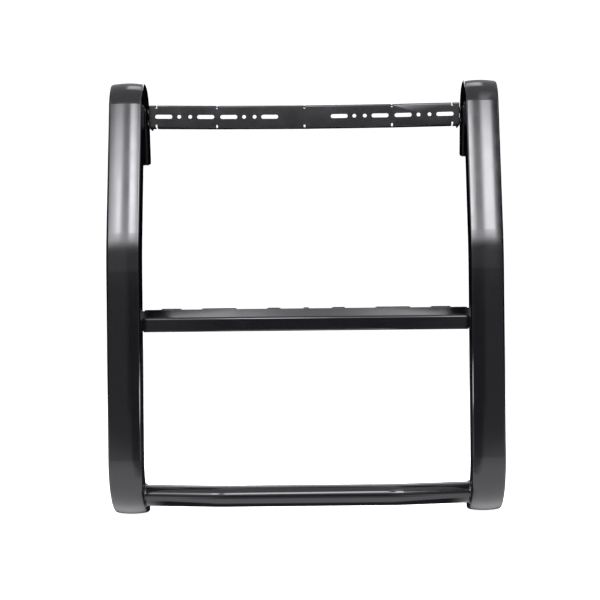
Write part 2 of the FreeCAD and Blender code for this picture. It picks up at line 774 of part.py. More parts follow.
def build_lower_tube():
    """A round tube, straight in the middle and bent back to the uprights, cut square to them."""
    body = new_body("lower_cross_tube")
    path = new_sketch(body, "XY_Plane", "path")
    radius = dim("lower_bend_radius").value
    turn = lower_turn.value
    end_x = inner_wall + dim("lower_spare")
    end_y = dim("lower_rear") + dim("lower_spare") * lower_slope
    centre_y = dim("lower_front") + dim("lower_bend_radius")
    right = arc_points(point(lower_straight, centre_y), radius, 270, 270 + turn)
    left = arc_points(point(-lower_straight, centre_y), radius, 270 - turn, 270)
    curves = [
        [point(-end_x, end_y), left[0]],
        left,
        [left[-1], right[0]],
        right,
        [right[-1], point(end_x, end_y)],
    ]
    smooth_chain(path, curves, closed=False)
    path.addConstraint(Sketcher.Constraint("Horizontal", 2))
    measure(path, "Radius", 1, dim("lower_bend_radius"), "leftbend")
    measure(path, "Radius", 3, dim("lower_bend_radius"), "rightbend")
    hold(path, "DistanceX", 0, 1, -end_x, "leftend")
    hold(path, "DistanceY", 0, 1, end_y, "leftdepth")
    hold(path, "DistanceX", 4, 2, end_x, "rightend")
    hold(path, "DistanceY", 4, 2, end_y, "rightdepth")
    hold(path, "DistanceY", 2, 1, dim("lower_front"), "front")
    hold(path, "DistanceX", 2, 1, -lower_straight, "straight")
    hold(path, "DistanceX", 2, 2, lower_straight, "straightend")
    section = new_sketch(body, "YZ_Plane", "section")
    circle(section, dim("lower_front"), 0, dim("lower_radius"), "outer")
    circle(section, dim("lower_front"), 0, dim("lower_radius") - dim("lower_wall"), "bore")
    doc.recompute()
    pipe = body.newObject("PartDesign::AdditivePipe", "tube")
    pipe.Profile = section
    pipe.Spine = path
    doc.recompute()
    trim = new_sketch(body, "XY_Plane", "trim")
    for side_name, side in SIDES.items():
        near = side_at(side, inner_wall)
        far = side_at(side, inner_wall + dim("lower_spare") * 3)
        rectangle(trim, (near, 0), (far, dim("lower_rear") * 2), side_name)
    pocket(body, trim, "trim_cut", dim("lower_radius") * 3, middle=True)
    place(body, 0, front, dim("lower_height"))


def build_lower_welds():
    """A fillet weld round each end of the lower tube."""
    beads = []
    reach = dim("lower_radius") / cosine(lower_turn)
    for side_name, side in SIDES.items():
        cone = doc.addObject("Part::Cone", f"{side_name}_weld_cone")
        bind(cone, "Radius1", reach + dim("weld_leg"))
        bind(cone, "Radius2", reach + dim("weld_toe"))
        bind(cone, "Height", dim("weld_leg"))
        y = front + dim("lower_rear")
        place(cone, side_at(side, inner_wall), y, dim("lower_height"), Y_AXIS, -90 * side)
        core = doc.addObject("Part::Cylinder", f"{side_name}_weld_core")
        bind(core, "Radius", dim("lower_radius"))
        bind(core, "Height", dim("weld_core"))
        lean = FreeCAD.Rotation(FreeCAD.Vector(0, 0, 1), lower_turn.value * side)
        across = FreeCAD.Rotation(Y_AXIS, 90)
        turned = lean.multiply(across)
        middle = FreeCAD.Vector(side_at(side, inner_wall).value, y.value, dim("lower_height").value)
        start = middle - turned.multVec(FreeCAD.Vector(0, 0, dim("weld_core").value / 2))
        core.Placement = FreeCAD.Placement(start, turned)
        bead = doc.addObject("Part::Cut", f"{side_name}_weld_bead")
        bead.Base = cone
        bead.Tool = core
        beads.append(bead)
    group = doc.addObject("Part::Compound", "lower_tube_welds")
    group.Links = beads
    group.Label = "lower_tube_welds"


# Frame brackets.


def build_frame_bracket(side_name):
    """A folded angle: a flange on the upright's back and a plate that runs back to the frame."""
    side = SIDES[side_name]
    body = new_body(f"{side_name}_frame_bracket")
    thick = dim("frame_bracket_sheet")
    back = dim("tube_depth")
    rear = dim("overall_depth")
    inner, outer = -dim("frame_bracket_inner"), dim("frame_bracket_outer")
    low, high = dim("frame_bracket_low"), dim("frame_bracket_high")
    angle = new_sketch(body, "XY_Plane", "angle", low)
    corners = [
        (inner, back),
        (outer, back),
        (outer, rear),
        (outer - thick, rear),
        (outer - thick, back + thick),
        (inner, back + thick),
    ]
    polygon(angle, [(side_at(side, x), y) for x, y in corners])
    pad(body, angle, "angle_pad", high - low)
    corner_cut = new_sketch(body, "YZ_Plane", "corner_cut")
    cut = dim("frame_bracket_cut")
    polygon(corner_cut, [(rear - cut, low), (rear, low), (rear, low + cut)], "low")
    polygon(corner_cut, [(rear - cut, high), (rear, high - cut), (rear, high)], "high")
    pocket(body, corner_cut, "corner_cut_pocket", outer * 3, middle=True)
    frame_holes = new_sketch(body, "YZ_Plane", "frame_holes")
    middle = (low + high) / 2
    for row, up in enumerate((-1, 1)):
        for column, along in enumerate((-1, 1)):
            y = dim("frame_hole_depth") + dim("frame_hole_deep_spacing") * along / 2
            z = middle + dim("frame_hole_high_spacing") * up / 2
            circle(frame_holes, y, z, dim("frame_hole") / 2, f"frame{row}{column}")
    pocket(body, frame_holes, "frame_hole_cut", outer * 3, middle=True)
    wall_holes = new_sketch(body, "XZ_Plane", "wall_holes", -back)
    for index, height in enumerate(FRAME_BOLT_HEIGHTS):
        circle(wall_holes, 0, height, large_clear, f"wall{index}")
    pocket(body, wall_holes, "wall_hole_cut", thick * 3, middle=True)
    place(body, side_at(side, upright_x), front, 0)


def build_gusset():
    """One triangular rib, drawn for the right-hand bracket's inner corner."""
    body = new_body("gusset")
    outline = new_sketch(body, "XY_Plane", "outline")
    polygon(outline, [(0, 0), (0, dim("gusset_deep")), (-dim("gusset_wide"), 0)])
    pad(body, outline, "rib", dim("gusset_sheet"), middle=True)
    return body


# Fasteners. Each is drawn once along Z, head up, with the joint's face at zero.


def build_hex_bolt(name, diameter, length):
    head = doc.addObject("Part::Prism", f"{name}_head")
    head.Polygon = 6
    bind(head, "Circumradius", diameter * HEX_REACH)
    bind(head, "Height", diameter * HEAD_RISE)
    shank = doc.addObject("Part::Cylinder", f"{name}_shank")
    bind(shank, "Radius", diameter / 2)
    bind(shank, "Height", length)
    bind(shank, "Placement.Base.z", -length)
    bolt = doc.addObject("Part::Fuse", name)
    bolt.Base = head
    bolt.Tool = shank
    return bolt


def build_ring(name, outer, bore, height):
    """A washer, a spacer, or part of a threaded insert, standing on the joint's face."""
    body = doc.addObject("Part::Cylinder", f"{name}_disc")
    bind(body, "Radius", outer)
    bind(body, "Height", height)
    hole = doc.addObject("Part::Cylinder", f"{name}_bore")
    bind(hole, "Radius", bore)
    bind(hole, "Height", height * 3)
    bind(hole, "Placement.Base.z", -height)
    ring = doc.addObject("Part::Cut", name)
    ring.Base = body
    ring.Tool = hole
    return ring


def build_lock_washer(name, diameter, height):
    """A split ring: a washer with a narrow cut through one side."""
    bore = diameter / 2 + dim("washer_clearance")
    ring = build_ring(f"{name}_ring", diameter * COLLAR_REACH, bore, height)
    gap = doc.addObject("Part::Box", f"{name}_gap")
    bind(gap, "Length", diameter)
    bind(gap, "Width", dim("lock_washer_gap"))
    bind(gap, "Height", height * 3)
    bind(gap, "Placement.Base.z", -height)
    washer = doc.addObject("Part::Cut", name)
    washer.Base = ring
    washer.Tool = gap
    return washer


def build_nut(name, diameter):
    body = doc.addObject("Part::Prism", f"{name}_hex")
    body.Polygon = 6
    bind(body, "Circumradius", diameter * HEX_REACH)
    bind(body, "Height", diameter * NUT_RISE)
    hole = doc.addObject("Part::Cylinder", f"{name}_bore")
    bind(hole, "Radius", diameter / 2)
    bind(hole, "Height", diameter * 3)
    bind(hole, "Placement.Base.z", -diameter)
    nut = doc.addObject("Part::Cut", name)
    nut.Base = body
    nut.Tool = hole
    return nut


def build_insert(name, diameter):
    """A threaded insert: a thin collar outside the wall and a barrel inside it."""
    bore = diameter / 2
    collar = build_ring(f"{name}_collar", diameter * COLLAR_REACH, bore, dim("insert_collar"))
    barrel_radius = bore + dim("insert_wall")
    barrel = build_ring(f"{name}_barrel", barrel_radius, bore, dim("insert_length"))
    bind(barrel, "Placement.Base.z", -dim("insert_length"))
    insert = doc.addObject("Part::Fuse", name)
    insert.Base = collar
    insert.Tool = barrel
    return insert


def repeat(label, original, places):
    """One node of identical pieces, each linked to the same original."""
    copies = []
    for index, (x, y, z, axis, angle) in enumerate(places):
        copy = doc.addObject("App::Link", f"{label}_{index}")
        copy.LinkedObject = original
        place(copy, x, y, z, axis, angle)
        copies.append(copy)
    group = doc.addObject("Part::Compound", label)
    group.Links = copies
    group.Label = label


def tab_places(distance):
    """The light channel's bolts: heads toward the middle, on the tabs' bolt line."""
    places = []
    for side in SIDES.values():
        for end in (-1, 1):
            z = dim("channel_middle") + dim("tab_bolt_spacing") * end / 2
            places.append((side_at(side, distance), front + tab_bolt_y, z, Y_AXIS, -90 * side))
    return places


def wall_places(heights, distance):
    """Bolts on the backs of the uprights, heads to the rear."""
    places = []
    for side in SIDES.values():
        for height in heights:
            y = front + distance
            places.append((side_at(side, upright_x), y, size(height), X_AXIS, -90))
    return places


def end_places(distance, outward):
    """Bolts through the step bar's end plates, facing the middle or away from it."""
    places = []
    for side in SIDES.values():
        for y, z in END_BOLT_PLACES:
            angle = 90 * side if outward else -90 * side
            places.append((side_at(side, distance), front + y, size(z), Y_AXIS, angle))
    return places


def build_fasteners():
    small, large = dim("small_bolt"), dim("large_bolt")
    back = dim("tube_depth")
    step_heights = [step_middle_z + offset for offset in STEP_BOLT_OFFSETS]

    small_insert = build_insert("small_insert", small)
    repeat("top_channel_inserts", small_insert, tab_places(inner_wall))
    repeat("step_bracket_inserts", small_insert, wall_places(step_heights, back))
    large_insert = build_insert("large_insert", large)
    repeat("frame_bracket_inserts", large_insert, wall_places(FRAME_BOLT_HEIGHTS, back))

    collar = dim("insert_collar")
    spacer_bore = small / 2 + dim("spacer_clearance")
    spacer = build_ring("spacer", small, spacer_bore, inner_wall - dim("channel_half") - collar)
    repeat("top_channel_spacers", spacer, tab_places(inner_wall - collar))
    tab_face = dim("channel_half") - dim("channel_sheet")
    small_thick = dim("small_washer")
    small_bore = small / 2 + dim("washer_clearance")
    small_washer = build_ring("small_flat_washer", small, small_bore, small_thick)
    repeat("top_channel_washers", small_washer, tab_places(tab_face))
    tab_bolt = build_hex_bolt("tab_bolt", small, dim("tab_bolt_length"))
    repeat("top_channel_bolts", tab_bolt, tab_places(tab_face - small_thick))

    bracket_face = back + dim("step_bracket_sheet")
    small_lock = build_lock_washer("small_lock", small, dim("small_lock_washer"))
    repeat("step_bracket_lock_washers", small_lock, wall_places(step_heights, bracket_face))
    wall_bolt = build_hex_bolt("wall_bolt", small, dim("wall_bolt_length"))
    seat = bracket_face + dim("small_lock_washer")
    repeat("step_bracket_bolts", wall_bolt, wall_places(step_heights, seat))

    washers_inside = end_places(bar_half, outward=False)
    outer_face = inner_wall + dim("step_bracket_sheet")
    washers_outside = end_places(outer_face, outward=True)
    repeat("step_end_washers", small_washer, washers_inside + washers_outside)
    end_bolt = build_hex_bolt("end_bolt", small, dim("end_bolt_length"))
    repeat("step_end_bolts", end_bolt, end_places(bar_half - small_thick, outward=False))
    nut = build_nut("nut", small)
    repeat("step_end_nuts", nut, end_places(outer_face + small_thick, outward=True))

    flange_face = back + dim("frame_bracket_sheet")
    large_bore = large / 2 + dim("washer_clearance")
    large_washer = build_ring("large_flat_washer", large, large_bore, dim("large_washer"))
    repeat("frame_bracket_washers", large_washer, wall_places(FRAME_BOLT_HEIGHTS, flange_face))
    large_lock = build_lock_washer("large_lock", large, dim("large_lock_washer"))
    lock_face = flange_face + dim("large_washer")
    repeat("frame_bracket_lock_washers", large_lock, wall_places(FRAME_BOLT_HEIGHTS, lock_face))
    frame_bolt = build_hex_bolt("frame_bolt", large, dim("frame_bolt_length"))
    bolt_face = lock_face + dim("large_lock_washer")
    repeat("frame_bracket_bolts", frame_bolt, wall_places(FRAME_BOLT_HEIGHTS, bolt_face))


def build_gussets():
    gusset = build_gusset()
    corner_x = upright_x + dim("frame_bracket_outer") - dim("frame_bracket_sheet")
    y = front + dim("tube_depth") + dim("frame_bracket_sheet")
    places = []
    for side in SIDES.values():
        for height in GUSSET_HEIGHTS:
            angle = 0 if side > 0 else 180
            places.append((side_at(side, corner_x), y, size(height), Y_AXIS, angle))
    repeat("frame_bracket_gussets", gusset, places)


for name in SIDES:
    build_upright(name)
    build_foot_cap(name)
    build_tail_cap(name)
    build_end_plate(name)
    build_step_bracket(name)
    build_frame_bracket(name)
build_light_channel()
build_step_bar()
build_lower_tube()
build_lower_welds()
build_gussets()
build_fasteners()
doc.recompute()

NODES = [
    "left_upright",
    "right_upright",
    "left_foot_cap",
    "right_foot_cap",
    "left_tail_cap",
    "right_tail_cap",
    "top_light_channel",
    "top_channel_inserts",
    "top_channel_spacers",
    "top_channel_washers",
    "top_channel_bolts",
    "step_crossbar",
    "left_step_end_plate",
    "right_step_end_plate",
    "left_step_bracket",
    "right_step_bracket",
    "step_bracket_inserts",
    "step_bracket_lock_washers",
    "step_bracket_bolts",
    "step_end_washers",
    "step_end_bolts",
    "step_end_nuts",
    "lower_cross_tube",
    "lower_tube_welds",
    "left_frame_bracket",
    "right_frame_bracket",
    "frame_bracket_gussets",
    "frame_bracket_inserts",
    "frame_bracket_washers",
    "frame_bracket_lock_washers",
    "frame_bracket_bolts",
]

for item in doc.Objects:
    if {"Invalid", "Error"} & set(item.State):
        raise RuntimeError(f"{item.Name} failed: {item.State}")

os.makedirs("parts", exist_ok=True)
for label in NODES:
    shape = doc.getObjectsByLabel(label)[0].Shape
    if shape.isNull() or not shape.isValid():
        raise RuntimeError(f"{label} has no valid shape")
    shape.exportStep(f"parts/{label}.step")
    box = shape.BoundBox
    print(f"{label}: {len(shape.Solids)} solids, {shape.Volume / 1000:.1f} cm3, "
          f"x {box.XMin:.1f}..{box.XMax:.1f}, y {box.YMin:.1f}..{box.YMax:.1f}, "
          f"z {box.ZMin:.1f}..{box.ZMax:.1f}")
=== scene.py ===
"""Looks for the front grille guard: powder-coated steel, plated fasteners and a bright studio."""
import math

import bmesh
import bpy
from mathutils import Matrix, Vector


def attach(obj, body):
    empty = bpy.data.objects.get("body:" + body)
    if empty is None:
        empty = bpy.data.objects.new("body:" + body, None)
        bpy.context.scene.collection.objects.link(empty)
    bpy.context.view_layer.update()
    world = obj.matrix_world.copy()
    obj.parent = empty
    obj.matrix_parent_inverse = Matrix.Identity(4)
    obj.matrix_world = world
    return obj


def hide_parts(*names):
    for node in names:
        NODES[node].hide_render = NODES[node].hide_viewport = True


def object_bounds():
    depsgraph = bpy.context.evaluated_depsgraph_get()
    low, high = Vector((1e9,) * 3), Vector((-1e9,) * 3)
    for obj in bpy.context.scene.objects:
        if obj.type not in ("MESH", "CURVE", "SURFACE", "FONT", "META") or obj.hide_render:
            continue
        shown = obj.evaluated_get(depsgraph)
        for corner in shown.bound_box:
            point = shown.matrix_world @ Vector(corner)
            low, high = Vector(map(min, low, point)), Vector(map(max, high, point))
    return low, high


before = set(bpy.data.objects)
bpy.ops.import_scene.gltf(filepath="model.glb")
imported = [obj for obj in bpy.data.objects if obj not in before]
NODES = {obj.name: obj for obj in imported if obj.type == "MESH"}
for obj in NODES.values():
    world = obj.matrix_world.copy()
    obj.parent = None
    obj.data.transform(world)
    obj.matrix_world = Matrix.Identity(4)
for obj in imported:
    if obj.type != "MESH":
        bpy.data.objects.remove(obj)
cad_low, cad_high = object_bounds()
scene = bpy.context.scene

MM = 0.001
FRONT_Y = cad_low[1]
BODY = "root"


# Camera: square to the guard, a little to the right of its middle, with a slight roll.

CAMERA_DISTANCE = 3.0
CAMERA_X = 0.0393
CAMERA_Z = 0.4944
CAMERA_ROLL = math.radians(0.6)
CAMERA_LENS = 80.4
CAMERA_SHIFT_X = -0.0383


def add_camera():
    data = bpy.data.cameras.new("camera")
    data.lens = CAMERA_LENS
    data.sensor_width = 36.0
    data.shift_x = CAMERA_SHIFT_X
    camera = bpy.data.objects.new("camera", data)
    scene.collection.objects.link(camera)
    level = Matrix.Rotation(math.radians(90), 4, "X")
    roll = Matrix.Rotation(CAMERA_ROLL, 4, "Y")
    spot = Vector((CAMERA_X, FRONT_Y - CAMERA_DISTANCE, CAMERA_Z))
    camera.matrix_world = Matrix.Translation(spot) @ roll @ level
    scene.camera = camera


# Materials.


class Nodes:
    """Small helper that adds and links shader nodes."""

    def __init__(self, name):
        self.material = bpy.data.materials.new(name)
        self.material.use_nodes = True
        self.tree = self.material.node_tree
        self.shader = self.tree.nodes["Principled BSDF"]
        self.coords = self.add("ShaderNodeTexCoord").outputs["Object"]

    def add(self, kind, **settings):
        node = self.tree.nodes.new(kind)
        for key, value in settings.items():
            setattr(node, key, value)
        return node

    def link(self, source, target):
        self.tree.links.new(source, target)

    def stretched(self, x, y, z):
        """The object's own coordinates, scaled differently along each axis."""
        node = self.add("ShaderNodeMapping")
        node.inputs["Scale"].default_value = (x, y, z)
        self.link(self.coords, node.inputs["Vector"])
        return node.outputs["Vector"]

    def noise(self, scale, detail=3.0, roughness=0.5, vector=None):
        node = self.add("ShaderNodeTexNoise")
        node.inputs["Scale"].default_value = scale
        node.inputs["Detail"].default_value = detail
        node.inputs["Roughness"].default_value = roughness
        self.link(vector or self.coords, node.inputs["Vector"])
        return node.outputs["Fac"]

    def cells(self, scale):
        node = self.add("ShaderNodeTexVoronoi")
        node.inputs["Scale"].default_value = scale
        self.link(self.coords, node.inputs["Vector"])
        return node.outputs["Distance"]

    def spread(self, source, low, high, start=0.3, finish=0.7):
        node = self.add("ShaderNodeMapRange")
        node.inputs["From Min"].default_value = start
        node.inputs["From Max"].default_value = finish
        node.inputs["To Min"].default_value = low
        node.inputs["To Max"].default_value = high
        self.link(source, node.inputs["Value"])
        return node.outputs["Result"]

    def math(self, operation, first, second):
        node = self.add("ShaderNodeMath", operation=operation)
        for socket, value in zip(node.inputs, (first, second)):
            if hasattr(value, "links"):
                self.link(value, socket)
            else:
                socket.default_value = value
        return node.outputs["Value"]

    def mix(self, factor, first, second):
        node = self.add("ShaderNodeMix", data_type="RGBA")
        self.link(factor, node.inputs["Factor"])
        for key, value in (("A", first), ("B", second)):
            socket = [s for s in node.inputs if s.name == key and s.type == "RGBA"][0]
            if isinstance(value, tuple):
                socket.default_value = (*value, 1.0)
            else:
                self.link(value, socket)
        return [s for s in node.outputs if s.type == "RGBA"][0]

    def bump(self, height, strength, distance, normal=None):
        node = self.add("ShaderNodeBump")
        node.inputs["Strength"].default_value = strength
        node.inputs["Distance"].default_value = distance
        self.link(height, node.inputs["Height"])
        if normal is not None:
            self.link(normal, node.inputs["Normal"])
        return node.outputs["Normal"]

    def edges(self, width, breakup):
        """1 on convex and concave edges, fading to 0 within a width, broken up by noise."""
        bevel = self.add("ShaderNodeBevel", samples=4)
        bevel.inputs["Radius"].default_value = width
        geometry = self.add("ShaderNodeNewGeometry")
        dot = self.add("ShaderNodeVectorMath", operation="DOT_PRODUCT")
        self.link(bevel.outputs["Normal"], dot.inputs[0])
        self.link(geometry.outputs["Normal"], dot.inputs[1])
        mask = self.spread(dot.outputs["Value"], 1.0, 0.0, 0.90, 0.995)
        return self.math("MULTIPLY", mask, self.spread(self.noise(breakup), 0.0, 1.0))

    def set(self, socket, value):
        target = self.shader.inputs[socket]
        if hasattr(value, "links"):
            self.link(value, target)
        else:
            target.default_value = value


def powder_coat(name, tone=0.0015, rough=(0.09, 0.14), peel=0.03):
    """Glossy black powder coat: fine orange peel, faint cloudiness and paler, duller edges."""
    n = Nodes(name)
    dark = (tone, tone, tone * 1.5)
    cloudy = (tone * 1.5, tone * 1.5, tone * 2.2)
    worn = (tone * 10, tone * 10, tone * 11)
    worn_edges = n.edges(0.9 * MM, 160.0)
    n.set("Base Color", n.mix(worn_edges, n.mix(n.noise(9.0), dark, cloudy), worn))
    gloss = n.spread(n.noise(26.0, 4.0), *rough)
    n.set("Roughness", n.math("ADD", gloss, n.math("MULTIPLY", worn_edges, 0.12)))
    waves = n.bump(n.noise(330.0, 2.0), peel, 0.3 * MM)
    n.set("Normal", n.bump(n.noise(2400.0, 1.0), 0.03, 0.1 * MM, waves))
    return n.material


def moulded_plastic(name):
    """Black polyethylene with a fine spark-eroded texture and paler scuffed edges."""
    n = Nodes(name)
    scuffed = n.edges(1.2 * MM, 240.0)
    n.set("Base Color", n.mix(scuffed, n.mix(n.noise(14.0), (0.012,) * 3, (0.020,) * 3), (0.05,) * 3))
    n.set("Roughness", n.spread(n.noise(60.0, 4.0), 0.44, 0.60))
    n.set("Normal", n.bump(n.cells(1500.0), 0.35, 0.12 * MM, n.bump(n.noise(700.0), 0.2, 0.1 * MM)))
    return n.material


def black_oxide(name):
    """Blackened steel: dark brown-blue clouds, an oily sheen and bare metal on the corners."""
    n = Nodes(name)
    bare = n.edges(0.5 * MM, 420.0)
    clouds = n.mix(n.noise(120.0, 4.0), (0.022, 0.022, 0.026), (0.050, 0.046, 0.044))
    n.set("Base Color", n.mix(bare, clouds, (0.22, 0.21, 0.20)))
    n.set("Metallic", 0.85)
    n.set("Roughness", n.spread(n.noise(300.0, 4.0), 0.30, 0.48))
    n.set("Normal", n.bump(n.noise(1800.0, 3.0), 0.15, 0.1 * MM))
    return n.material


def zinc_plate(name, pale, deep, rough=(0.22, 0.38)):
    """Zinc-plated steel: spangled tint, fine die marks and dulled corners."""
    n = Nodes(name)
    dulled = n.edges(0.4 * MM, 380.0)
    tint = n.mix(n.noise(170.0, 4.0), pale, deep)
    worn = tuple(channel * 0.62 for channel in deep)
    n.set("Base Color", n.mix(dulled, tint, worn))
    n.set("Metallic", 1.0)
    n.set("Roughness", n.spread(n.noise(420.0, 5.0), *rough))
    marks = n.noise(900.0, 2.0, vector=n.stretched(1.0, 1.0, 6.0))
    n.set("Normal", n.bump(marks, 0.12, 0.1 * MM))
    return n.material


# Pieces that stand for CAD nodes.


def shade(mesh, angle=30.0):
    mesh.shade_smooth()
    mesh.set_sharp_from_angle(angle=math.radians(angle))


def add_piece(name, bm, material, slot, *nodes):
    """Turns a bmesh into a piece that rides on the guard, and hides the nodes it stands for."""
    bmesh.ops.recalc_face_normals(bm, faces=bm.faces)
    mesh = bpy.data.meshes.new(name)
    bm.to_mesh(mesh)
    bm.free()
    shade(mesh)
    mesh.materials.append(material)
    piece = bpy.data.objects.new(name, mesh)
    scene.collection.objects.link(piece)
    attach(piece, BODY)
    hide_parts(*nodes)


def welded_copy(node):
    """A node's surface with its split corners joined and its flat triangles merged."""
    bm = bmesh.new()
    bm.from_mesh(NODES[node].data)
    for layer in list(bm.loops.layers.float_vector.values()):
        bm.loops.layers.float_vector.remove(layer)
    bmesh.ops.remove_doubles(bm, verts=bm.verts, dist=0.002 * MM)
    bmesh.ops.dissolve_limit(
        bm, angle_limit=math.radians(0.4), use_dissolve_boundaries=False,
        verts=bm.verts, edges=bm.edges, delimit=set(),
    )
    return bm


def add_rounded(node, material, width):
    """A finer copy of a node with every sharp edge rounded over."""
    plain = bpy.data.meshes.new(node + "_plain")
    bm = welded_copy(node)
    bm.to_mesh(plain)
    bm.free()
    for attribute in [a.name for a in plain.attributes if a.name == "custom_normal"]:
        plain.attributes.remove(plain.attributes[attribute])
    work = bpy.data.objects.new(node + "_work", plain)
    scene.collection.objects.link(work)
    bevel = work.modifiers.new("round", "BEVEL")
    bevel.width = width
    bevel.segments = 3
    bevel.limit_method = "ANGLE"
    bevel.angle_limit = math.radians(35)
    bevel.harden_normals = True
    graph = bpy.context.evaluated_depsgraph_get()
    mesh = bpy.data.meshes.new_from_object(work.evaluated_get(graph))
    mesh.name = node + "_finish"
    bpy.data.objects.remove(work)
    mesh.materials.clear()
    mesh.materials.append(material)
    piece = bpy.data.objects.new(node + "_finish", mesh)
    scene.collection.objects.link(piece)
    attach(piece, BODY)
    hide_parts(node)


def islands(node):
    """The box of each separate solid in a node, as (low, high) corners."""
    bm = welded_copy(node)
    bm.verts.ensure_lookup_table()
    left = set(bm.verts)
    boxes = []
    while left:
        stack = [left.pop()]
        points = []
        while stack:
            vertex = stack.pop()
            points.append(vertex.co.copy())
            for edge in vertex.link_edges:
                other = edge.other_vert(vertex)
                if other in left:
                    left.remove(other)
                    stack.append(other)
        low = Vector(min(p[axis] for p in points) for axis in range(3))
        high = Vector(max(p[axis] for p in points) for axis in range(3))
        boxes.append((low, high))
    bm.free()
    return boxes


# Fasteners. Each is drawn along Z, with the joint's face at zero and the head above it.

ROUND = 36
THREAD_STEPS = 6
PITCH = {8: 1.25 * MM, 10: 1.5 * MM}
HEX_REACH = 0.94
HEAD_RISE = 0.65
NUT_RISE = 0.8


def ring(radius, height):
    """Points round the axis. Radius and height are numbers or functions of the angle."""
    points = []
    for step in range(ROUND):
        angle = math.tau * step / ROUND
        r = radius(angle) if callable(radius) else radius
        z = height(angle) if callable(height) else height
        points.append(Vector((r * math.cos(angle), r * math.sin(angle), z)))
    return points


def skin(bm, rings, turn, closed):
    """Joins rings of points into a surface, either a closed tube or a capped solid."""
    loops = [[bm.verts.new(turn @ point) for point in points] for points in rings]
    count = len(loops[0])
    pairs = list(zip(loops[:-1], loops[1:]))
    if closed:
        pairs.append((loops[-1], loops[0]))
    for first, second in pairs:
        for step in range(count):
            after = (step + 1) % count
            bm.faces.new((first[step], first[after], second[after], second[step]))
    if not closed:
        bm.faces.new(loops[0])
        bm.faces.new(reversed(loops[-1]))


def hexagon(reach, limit):
    """The radius of a hexagon with corners at a reach, held inside a circle."""
    flat = reach * math.cos(math.pi / 6)

    def radius(angle):
        sector = angle % (math.pi / 3) - math.pi / 6
        return min(flat / math.cos(sector), limit)

    return radius


def chamfered(reach, height, rise, steps=6):
    """Rings of a hexagonal prism's end that a shallow cone cuts away at the corners."""
    flat = reach * math.cos(math.pi / 6)
    depth = (reach - flat) * math.tan(math.radians(30)) * 1.25
    start = flat * 0.97
    rings = []
    for step in range(steps + 1):
        share = step / steps
        limit = start + (reach - start) * share
        rings.append(ring(hexagon(reach, limit), height - rise * depth * share))
    return rings


def thread(radius, pitch, top, bottom, inside=False):
    """Rings of a helical thread between two heights."""
    depth = pitch * (-0.5 if inside else 0.5)
    count = max(2, round((top - bottom) / pitch * THREAD_STEPS))
    rings = []
    for step in range(count + 1):
        height = top + (bottom - top) * step / count

        def cut(angle, height=height):
            phase = (height / pitch + angle / math.tau) % 1.0
            return radius - depth * abs(2 * phase - 1)

        rings.append(ring(cut, height))
    return rings


def hex_bolt(bm, turn, size, length):
    diameter = size * MM
    reach = diameter * HEX_REACH
    rise = diameter * HEAD_RISE
    head = [ring(diameter * 0.55, rise - 0.05 * size * MM), ring(diameter * 0.62, rise)]
    head += chamfered(reach, rise, 1)
    head += [ring(hexagon(reach, reach), 0.10 * diameter), ring(diameter * 0.80, 0.07 * diameter)]
    head += [ring(diameter * 0.78, 0.0)]
    skin(bm, head, turn, closed=False)
    tip = 0.12 * diameter
    shank = [ring(diameter * 0.49, 0.05 * diameter)]
    shank += thread(diameter / 2, PITCH[size], -0.1 * diameter, tip - length)
    shank += [ring(diameter * 0.40, -length)]
    skin(bm, shank, turn, closed=False)


def hex_nut(bm, turn, size):
    diameter = size * MM
    reach = diameter * HEX_REACH
    rise = diameter * NUT_RISE
    mouth = diameter * 0.56
    rings = [ring(mouth, rise)]
    rings += chamfered(reach, rise, 1)
    rings += list(reversed(chamfered(reach, 0.0, -1)))
    rings += [ring(mouth, 0.0)]
    bore = thread(diameter * 0.5, PITCH[size], rise - 0.06 * diameter, 0.06 * diameter, inside=True)
    rings += list(reversed(bore))
    skin(bm, rings, turn, closed=True)


def flat_ring(bm, turn, outer, bore, height, corner):
    """A washer or spacer with broken corners."""
    spots = [
        (bore, corner), (bore + corner, 0), (outer - corner, 0), (outer - corner * 0.3, corner * 0.3),
        (outer, corner), (outer, height - corner), (outer - corner * 0.3, height - corner * 0.3),
        (outer - corner, height), (bore + corner, height), (bore, height - corner),
    ]
    skin(bm, [ring(r, z) for r, z in spots], turn, closed=True)


def spring_ring(bm, turn, outer, bore, height):
    """A split lock washer: one turn of square wire, sprung a little out of flat."""
    gap = math.radians(9)
    rise = 0.16 * height
    corner = 0.12 * height
    tall = height - rise
    section = [
        (bore + corner, 0), (outer - corner, 0), (outer, corner), (outer, tall - corner),
        (outer - corner, tall), (bore + corner, tall), (bore, tall - corner), (bore, corner),
    ]
    loops = []
    for step in range(ROUND + 1):
        share = step / ROUND
        angle = gap + (math.tau - 2 * gap) * share
        points = [
            Vector((r * math.cos(angle), r * math.sin(angle), z + rise * share)) for r, z in section
        ]
        loops.append([bm.verts.new(turn @ point) for point in points])
    count = len(section)
    for first, second in zip(loops[:-1], loops[1:]):
        for k in range(count):
            bm.faces.new((first[k], first[(k + 1) % count], second[(k + 1) % count], second[k]))
    bm.faces.new(loops[0])
    bm.faces.new(reversed(loops[-1]))


def threaded_insert(bm, turn, size, collar, length):
    diameter = size * MM
    barrel = diameter / 2 + 1.5 * MM
    edge = 0.2 * MM
    spots = [
        (diameter * 0.53, collar), (diameter * 0.8 - edge, collar), (diameter * 0.8, collar - edge),
        (diameter * 0.8, edge), (diameter * 0.8 - edge, 0), (barrel, 0), (barrel, edge - length),
        (barrel - edge, -length), (diameter * 0.52, -length),
    ]
    rings = [ring(r, z) for r, z in spots]
    bore = thread(diameter * 0.5, PITCH[size], collar - 0.3 * MM, 0.5 * MM - length, inside=True)
    rings += list(reversed(bore))
    skin(bm, rings, turn, closed=True)


